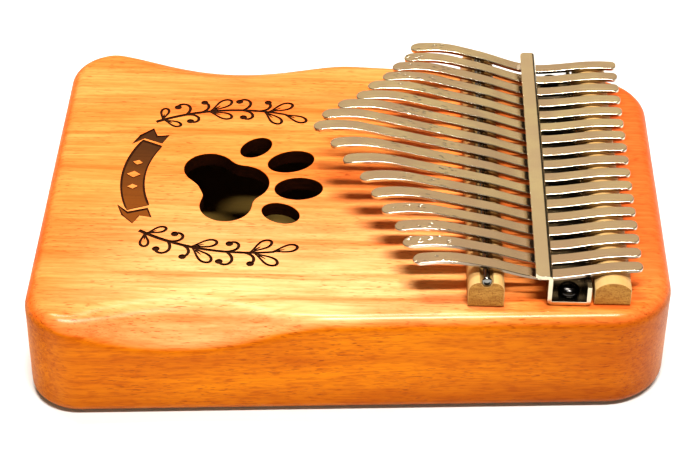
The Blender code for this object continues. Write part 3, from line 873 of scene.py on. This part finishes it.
def tendril(root, heading, reach, turn, level):
    """A stem that winds up by turn degrees, tighter and tighter, into a round bud."""
    spot = root.copy()
    points = [spot.copy()]
    for i in range(CURL_STEPS):
        ahead = math.radians(heading + turn * ((i + 0.5) / CURL_STEPS) ** CURL_POWER)
        spot += Vector((math.cos(ahead), math.sin(ahead))) * reach / CURL_STEPS
        points.append(spot.copy())
    bottom = TOP - BURN_DEPTH - (level + 1) * LEVEL_DROP
    bud = prism(circle(spot.x, spot.y, BUD_RADIUS, 16), bottom, TOP + 0.8 * MM)
    return [stroke(points, [LINE_WIDTH] * len(points), level), bud]


def wreath_strokes():
    """Two sprigs that follow arcs round the sound hole."""
    made = []
    level = 10
    for side, centre, radius, start, end in SPRIGS:
        sweep = end - start

        def on_stem(share):
            return polar(radius, start + sweep * share, centre)

        shares = [i / STEM_STEPS for i in range(STEM_STEPS + 1)]
        thick, thin = STEM_WIDTHS
        widths = [(thick + (thin - thick) * share) * MM for share in shares]
        made.append(stroke([on_stem(share) for share in shares], widths, level))
        for share, outward, length, lean, turn in SPRIG:
            hand = side * outward
            heading = start + sweep * share - 90 * side + hand * lean
            level += 2
            if turn:
                made += tendril(on_stem(share), heading, length * MM, hand * turn, level)
            else:
                made += leaf(on_stem(share), heading, length * MM, level)
        share, length, lean = LAST_LEAF
        made += leaf(on_stem(share), end - (90 + lean) * side, length * MM, level + 2)
        level += 6
    return made


def arc_band(inner, outer, start, end, count=26):
    """A closed outline between two arcs about the ribbon's centre."""
    turns = [start + (end - start) * i / (count - 1) for i in range(count)]
    out = [polar(outer, turn) for turn in turns]
    back = [polar(inner, turn) for turn in reversed(turns)]
    return [tuple(point) for point in out + back]


def ribbon_outlines():
    """The ribbon's band, and its two swallow-tailed ends."""
    outlines = [arc_band(*RIBBON_BAND)]
    for end, away in ((RIBBON_BAND[2], -1), (RIBBON_BAND[3], 1)):
        outlines.append([tuple(polar(radius, end + away * past)) for radius, past in RIBBON_TAIL])
    return outlines


def ribbon_strokes():
    """Dark lines round the ribbon's pieces."""
    made = []
    for level, outline in enumerate(ribbon_outlines()):
        points = [Vector(point) for point in outline]
        made.append(stroke(points, [RIBBON_LINE_WIDTH] * len(points), level + 3, closed=True))
    return made


def make_ribbon_cutter(toasted):
    """A blank ribbon round the player's side, with three lozenges left standing in its band."""
    floor = TOP - BURN_DEPTH
    pieces = [prism(outline, floor, TOP + PAST) for outline in ribbon_outlines()]
    ribbon = add_mesh("ribbon", *join_parts(pieces), toasted)
    left = []
    middle = (RIBBON_BAND[0] + RIBBON_BAND[1]) / 2
    for turn, size in LOZENGES:
        corners = [polar(middle + size * out, turn + size * past) for out, past in LOZENGE_CORNERS]
        left.append(prism([tuple(corner) for corner in corners], floor - PAST, TOP + 2 * PAST))
    lozenges = add_mesh("lozenges", *join_parts(left), toasted)
    cut(ribbon, lozenges)
    return ribbon


# ---- plate, saddles, rod


def make_back_plate(finish):
    """A plate with a small chamfer below, and two round holes that are chamfered below too."""
    levels = []
    for inset, z in ((PLATE_CHAMFER, 0.0), (0.0, PLATE_CHAMFER), (0.0, PLATE_TOP)):
        levels.append((box_outline(RIM_WIDTH + GAP + inset, 8, 2, 2), z))
    plate = add_mesh("plate", *stacked(levels), finish)
    below = 0.3 * MM
    profile = [(BACK_HOLE_RADIUS + HOLE_CHAMFER + below, -below)]
    profile += [(BACK_HOLE_RADIUS, HOLE_CHAMFER), (BACK_HOLE_RADIUS, PLATE_TOP + PAST)]
    holes = [turned(x, y, profile, 48) for x, y in BACK_HOLES]
    holes = add_mesh("plate_holes", *join_parts(holes), finish)
    cut(plate, holes)
    soften(plate)
    settle(plate, "back_plate")


def bar(profile, low, high, edge):
    """A profile of (x, z) points run along Y, with its ends chamfered by a small edge."""
    middle_x = sum(x for x, _ in profile) / len(profile)
    middle_z = sum(z for _, z in profile) / len(profile)
    rings = []
    for y, shrink in ((low, 1), (low + edge, 0), (high - edge, 0), (high, 1)):
        ring = []
        for x, z in profile:
            inward = Vector((middle_x - x, middle_z - z)).normalized() * edge * shrink
            ring.append((x + inward.x, y, z + inward.y))
        rings.append(ring)
    return loft(rings)


def arc(x, z, radius, start, end, count):
    """Points of an upright arc in the XZ plane, with angles in degrees from +X towards +Z."""
    turns = [math.radians(start + (end - start) * i / (count - 1)) for i in range(count)]
    return [(x + radius * math.cos(turn), z + radius * math.sin(turn)) for turn in turns]


def make_front_saddle(finish):
    """A strip with rounded shoulders, and a groove that the rod lies in."""
    left, right = FRONT_LOW.x, FRONT_HIGH.x
    top, shoulder = FRONT_HIGH.z, FRONT_SHOULDER
    groove = ROD_RADIUS + GAP
    lip = GROOVE_LIP
    profile = [(left, FRONT_LOW.z), (right, FRONT_LOW.z)]
    profile += arc(right - shoulder, top - shoulder, shoulder, 0, 80, 10)
    profile += arc(ROD_X + groove + lip, top - lip, lip, 90, 180, 5)
    profile += arc(ROD_X, ROD_Z, groove, -8, -172, 17)
    profile += arc(ROD_X - groove - lip, top - lip, lip, 0, 90, 5)
    profile += arc(left + shoulder, top - shoulder, shoulder, 100, 180, 10)
    saddle = add_mesh("saddle_front", *bar(profile, FRONT_LOW.y, FRONT_HIGH.y, SADDLE_EDGE), finish)
    soften(saddle)
    settle(saddle, "front_saddle")


def make_rear_saddle(finish):
    """A strip with upright sides and an arched top."""
    half = (REAR_HIGH.x - REAR_LOW.x) / 2
    rise = REAR_HIGH.z - REAR_SHOULDER_Z
    radius = (half * half + rise * rise) / (2 * rise)
    reach = math.degrees(math.asin(half / radius))
    middle = (REAR_LOW.x + REAR_HIGH.x) / 2
    profile = [(REAR_LOW.x, REAR_LOW.z), (REAR_HIGH.x, REAR_LOW.z)]
    profile += arc(middle, REAR_HIGH.z - radius, radius, 90 - reach, 90 + reach, 21)
    saddle = add_mesh("saddle_rear", *bar(profile, REAR_LOW.y, REAR_HIGH.y, SADDLE_EDGE), finish)
    soften(saddle)
    settle(saddle, "rear_saddle")


def make_rod(finish):
    """A round rod along Y, with rounded ends."""
    sections = [(ROD_LOW.y + drop, ROD_RADIUS - inset) for inset, drop in rounded(ROD_END, 4)]
    sections += [(ROD_LOW.y + ROD_HIGH.y - y, radius) for y, radius in reversed(sections)]
    rings = [[(x, y, z) for x, z in circle(ROD_X, ROD_Z, radius, 40)] for y, radius in sections]
    rod = add_mesh("rod", *loft(rings), finish)
    soften(rod)
    settle(rod, "saddle_rod")


# ---- bracket


def bracket_profile():
    """The bent sheet in the XZ plane: lip, front wall, flange and low rear wall."""
    half = SHEET / 2
    lip_z = BRACKET_HIGH.z - half
    floor_z = BRACKET_LOW.z + half
    front_x = BRACKET_FRONT + half
    rear_x = BRACKET_HIGH.x - half
    line = [(BRACKET_LOW.x + step * MM, lip_z) for step in (0, 0.15, 0.4, 0.8, 1.2, 1.6)]
    line += arc(front_x - BEND, lip_z - BEND, BEND, 90, 0, 7)
    line += arc(front_x + BEND, floor_z + BEND, BEND, 180, 270, 7)
    line += arc(rear_x - BEND, floor_z + BEND, BEND, 270, 360, 7)
    line.append((rear_x, BRACKET_REAR_TOP))
    above, below = both_sides([Vector(point) for point in line], [SHEET] * len(line))
    return [tuple(point) for point in above + below[::-1]]


def round_lip_corners(vertices):
    """Draws the ends of the lip in along Y, so that its two corners are round seen from above."""
    rounded = []
    for x, y, z in vertices:
        away = BRACKET_LOW.x + LIP_CORNER - x
        if away > 0 and z > BRACKET_HIGH.z - 2 * SHEET:
            drawn = LIP_CORNER - math.sqrt(max(LIP_CORNER**2 - away**2, 0))
            y -= math.copysign(drawn, y)
        rounded.append((x, y, z))
    return rounded


def make_bracket(finish):
    """The bent sheet, with its slots for the keys and holes for the screws."""
    vertices, faces = bar(bracket_profile(), BRACKET_LOW.y, BRACKET_HIGH.y, 0.0)
    bracket = add_mesh("bracket", round_lip_corners(vertices), faces, finish)
    face_outwards(bracket.data, merged=True)
    cuts = []
    for i in range(KEY_COUNT):
        y = key_y(i, SLOT_X)
        front, rear = BRACKET_FRONT - PAST, BRACKET_FRONT + SHEET + PAST
        low, high = y - SLOT_HALF_WIDTH, y + SLOT_HALF_WIDTH
        outline = ((front, low), (rear, low), (rear, high), (front, high))
        cuts.append(prism(outline, SLOT_BOTTOM, SLOT_TOP))
    for node in SCREW_NODES:
        x, y = screw_place(node)
        cuts.append(prism(circle(x, y, SHANK_RADIUS + GAP, 32), TOP, TOP + 3 * MM))
    cut(bracket, add_mesh("bracket_cuts", *join_parts(cuts), finish))
    soften(bracket, bevel=SHEET_EDGE)
    settle(bracket, "steel_bracket")


# ---- screws


def screw_place(node):
    low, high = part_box(node)
    return (low.x + high.x) / 2, (low.y + high.y) / 2


def make_screw(node, turn, finish):
    """A pan-head screw with a tapered cross recess, turned in by its own amount."""
    low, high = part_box(node)
    x, y = screw_place(node)
    seat = high.z - SCREW_HEAD
    profile = [(0.15 * MM, low.z), (SHANK_RADIUS, low.z + SCREW_TIP), (SHANK_RADIUS, seat)]
    dome = [(0.6 + 2.4 * math.cos(angle), 0.7 + 1.7 * math.sin(angle)) for angle in quarter(8)]
    profile += [(radius * MM, seat + rise * MM) for radius, rise in [*HEAD_SIDE, *dome]]
    screw = add_mesh("screw_" + node[-1], *turned(x, y, profile, 48), finish)
    arms = []
    for crossed in (0, 90):
        wing = Matrix.Rotation(math.radians(turn + crossed), 2)
        levels = []
        for half_long, half_wide, z in RECESS:
            spots = [wing @ Vector((half_long * u, half_wide * v)) * MM for u, v in SQUARE]
            levels.append([(x + spot.x, y + spot.y, high.z + z * MM) for spot in spots])
        arms.append(loft(levels))
    cut(screw, add_mesh("recess", *join_parts(arms), finish), overlapping=True)
    soften(screw)
    settle(screw, node)


# ---- keys


def key_y(i, x):
    """Where key i's middle line crosses x. The keys run towards one point behind the box."""
    spread = (KEY_COUNT - 1) / 2 - i
    return KEY_CENTRE_Y + spread * KEY_PITCH_AT_ROD * (APEX_X - x) / (APEX_X - ROD_X)


def tongue_lengths():
    """From the rod to each key's tip, stepping down from the middle key to both sides."""
    count = len(FAR_STEPS) + 1
    both = (FAR_STEPS, NEAR_STEPS)
    far, near = ([LONGEST_TONGUE - sum(steps[:i]) for i in range(count)] for steps in both)
    return [length * MM for length in far[:0:-1] + near]


def key_height(distance, tongue):
    """Height and slope of a key's underside behind the rod, or in front of it where negative."""
    if distance <= 0:
        ahead = -distance
        arched = max(ahead - (tongue - ARCH_LENGTH), 0)
        height = TONGUE_SLOPE * ahead - arched * arched / (2 * ARCH_RADIUS)
        return height, -(TONGUE_SLOPE - arched / ARCH_RADIUS)
    for (start, low, slope_in), (end, high, slope_out) in zip(TAIL_STOPS, TAIL_STOPS[1:]):
        if distance <= end * MM or end == TAIL_STOPS[-1][0]:
            break
    span = (end - start) * MM
    t = (distance - start * MM) / span
    height = (2 * t**3 - 3 * t**2 + 1) * low * MM + (t**3 - 2 * t**2 + t) * span * slope_in
    height += (3 * t**2 - 2 * t**3) * high * MM + (t**3 - t**2) * span * slope_out
    slope = (6 * t**2 - 6 * t) * (low - high) * MM / span
    slope += (3 * t**2 - 4 * t + 1) * slope_in + (3 * t**2 - 2 * t) * slope_out
    return height, slope


def strip_side(tongue, inset):
    """One side of a key in plan, tail to tip, as (distance behind the rod, distance sideways)."""
    side = [(TAIL_LENGTH - inset, 0.0)]
    centre = TAIL_LENGTH - TAIL_RADIUS
    flat = KEY_HALF_WIDTH - TAIL_RADIUS
    reach = TAIL_RADIUS - inset
    for turn in quarter(7):
        side.append((centre + reach * math.cos(turn), flat + reach * math.sin(turn)))
    tip = -(tongue - TIP_RADIUS)
    steps = 76
    for i in range(1, steps):
        distance = centre + (tip - centre) * i / steps
        share = max(ARCH_LENGTH - tongue - distance, 0) / (ARCH_LENGTH - TIP_RADIUS)
        half = KEY_HALF_WIDTH + (TIP_HALF_WIDTH - KEY_HALF_WIDTH) * share
        side.append((distance, half - inset))
    reach = TIP_RADIUS - inset
    for turn in quarter(10):
        side.append((tip - reach * math.sin(turn), reach * math.cos(turn)))
    side[-1] = (side[-1][0], 0.0)
    return side


def key_section():
    """(inset, height) up the edge of a key: a small radius below, a wider rounding above."""
    below = [(inset, height) for height, inset in rounded(EDGE_BELOW, 3)]
    above = rounded(EDGE_WIDTH, 6, EDGE_HEIGHT)
    return below + [(inset, KEY_THICKNESS - drop) for inset, drop in above]


def make_key(i, tongue, finish):
    """One continuous strip of spring steel from its tail, over the rod, to its arched tip."""
    number = f"{i + 1:02d}"
    up = Vector((0, 0, 1))
    origin = Vector((ROD_X, key_y(i, ROD_X), KEY_ABOVE_ROD))
    along = (Vector((APEX_X, KEY_CENTRE_Y, origin.z)) - origin).normalized()
    across = up.cross(along)
    rings = []
    for inset, lift in key_section():
        side = strip_side(tongue, inset)
        ring = []
        for distance, sideways in side + [(u, -v) for u, v in side[-2:0:-1]]:
            height, slope = key_height(distance, tongue)
            normal = (up - along * slope).normalized()
            spot = origin + along * distance + across * sideways + up * height
            ring.append(spot + normal * lift)
        rings.append(ring)
    vertices, faces = loft(rings, capped=False)
    count = len(rings[0])
    half = len(side)
    # The flat faces below and above are strips of quads from one side to the other.
    for first in (0, len(vertices) - count):
        for k in range(half - 1):
            corners = [k, k + 1, (count - k - 1) % count, (count - k) % count]
            face = list(dict.fromkeys(first + corner for corner in corners))
            faces.append(face if first else face[::-1])
    key = add_mesh("key_" + number, vertices, faces, finish)
    soften(key, sharp=50)
    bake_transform(key)
    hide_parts(f"key_{number}_tail", f"key_{number}_tongue")


# ---- stage


def add_panel(name, place, aim, size, power, colour):
    """A rectangular light that faces the point it is aimed at."""
    light = bpy.data.lights.new(name, "AREA")
    light.shape = "RECTANGLE"
    light.size, light.size_y = size
    light.energy = power
    light.color = colour
    obj = bpy.data.objects.new(name, light)
    bpy.context.scene.collection.objects.link(obj)
    obj.location = place
    obj.rotation_euler = (Vector(aim) - Vector(place)).to_track_quat("-Z", "Y").to_euler()


def make_stage():
    """The floor, the lights and the faint light from all round."""
    levels = [(circle(0, 0, radius, FLOOR_POINTS), -FLOOR_DROP) for radius in FLOOR_RADII]
    vertices, faces = stacked(levels, capped=False)
    faces.append(tuple(range(FLOOR_POINTS)))
    floor = add_mesh("floor", vertices, faces, make_floor_finish())
    for panel in PANELS:
        add_panel(*panel)
    world = bpy.data.worlds.new("studio")
    world.use_nodes = True
    background = world.node_tree.nodes["Background"]
    background.inputs["Color"].default_value = WORLD_COLOUR
    background.inputs["Strength"].default_value = WORLD_STRENGTH
    bpy.context.scene.world = world
    bpy.context.scene.view_settings.view_transform = "Standard"
    bpy.context.scene.view_settings.look = "Medium High Contrast"


def make_camera():
    data = bpy.data.cameras.new("camera")
    data.sensor_fit = "HORIZONTAL"
    data.sensor_width = SENSOR_WIDTH
    data.lens = CAMERA_LENS
    data.clip_start, data.clip_end = 0.01, 20
    camera = bpy.data.objects.new("camera", data)
    bpy.context.scene.collection.objects.link(camera)
    camera.location = CAMERA_PLACE
    look = Euler((math.radians(90 - CAMERA_DOWN), 0, math.radians(CAMERA_YAW))).to_matrix()
    tilt = Matrix.Rotation(math.radians(CAMERA_ROLL), 3, "Z")
    camera.rotation_euler = (look @ tilt).to_euler()
    bpy.context.scene.camera = camera


def main():
    lacquer = make_box_lacquer()
    burnt = make_burnt_wood("burnt_wood", (0.020, 0.004, 0.001), (0.060, 0.014, 0.002))
    engraved = make_burnt_wood("engraved_wood", (0.020, 0.005, 0.001), (0.060, 0.016, 0.003))
    toasted = make_toasted_wood()
    raw = make_raw_wood("raw_wood", (0.66, 0.44, 0.20), (0.50, 0.30, 0.12), 0.6)
    plate = make_raw_wood(
        "plate_wood", (0.74, 0.36, 0.10), (0.58, 0.25, 0.06), 0.35, inner=(0.22, 0.145, 0.036)
    )
    maple = make_maple()
    key_steel = make_key_steel()
    smoky = ((0.30, 0.30, 0.29), (0.20, 0.20, 0.19))
    chrome = make_steel("smoky_chrome", *smoky, 0.07, (2500, 60, 2500))[0].material
    # Painted shade: the screws' steel is made nearly black, for the dark undersides of the keys that it
    # reflects down in the channel.
    screw_shade_tints = ((0.085, 0.080, 0.075), (0.045, 0.042, 0.040))
    shade_darkened = make_steel("shade_darkened_steel", *screw_shade_tints, 0.12, (900, 900, 2500))[0].material
    make_soundbox(lacquer, burnt, engraved, toasted, raw)
    make_back_plate(plate)
    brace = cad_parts["inner_brace"].data
    brace.materials.clear()
    brace.materials.append(raw)
    make_front_saddle(maple)
    make_rear_saddle(maple)
    make_rod(chrome)
    make_bracket(make_bracket_steel())
    for i, node in enumerate(SCREW_NODES):
        make_screw(node, 37 * i + 12, shade_darkened)
    for i, length in enumerate(tongue_lengths()):
        make_key(i, length, key_steel)
    make_stage()
    make_camera()


main()
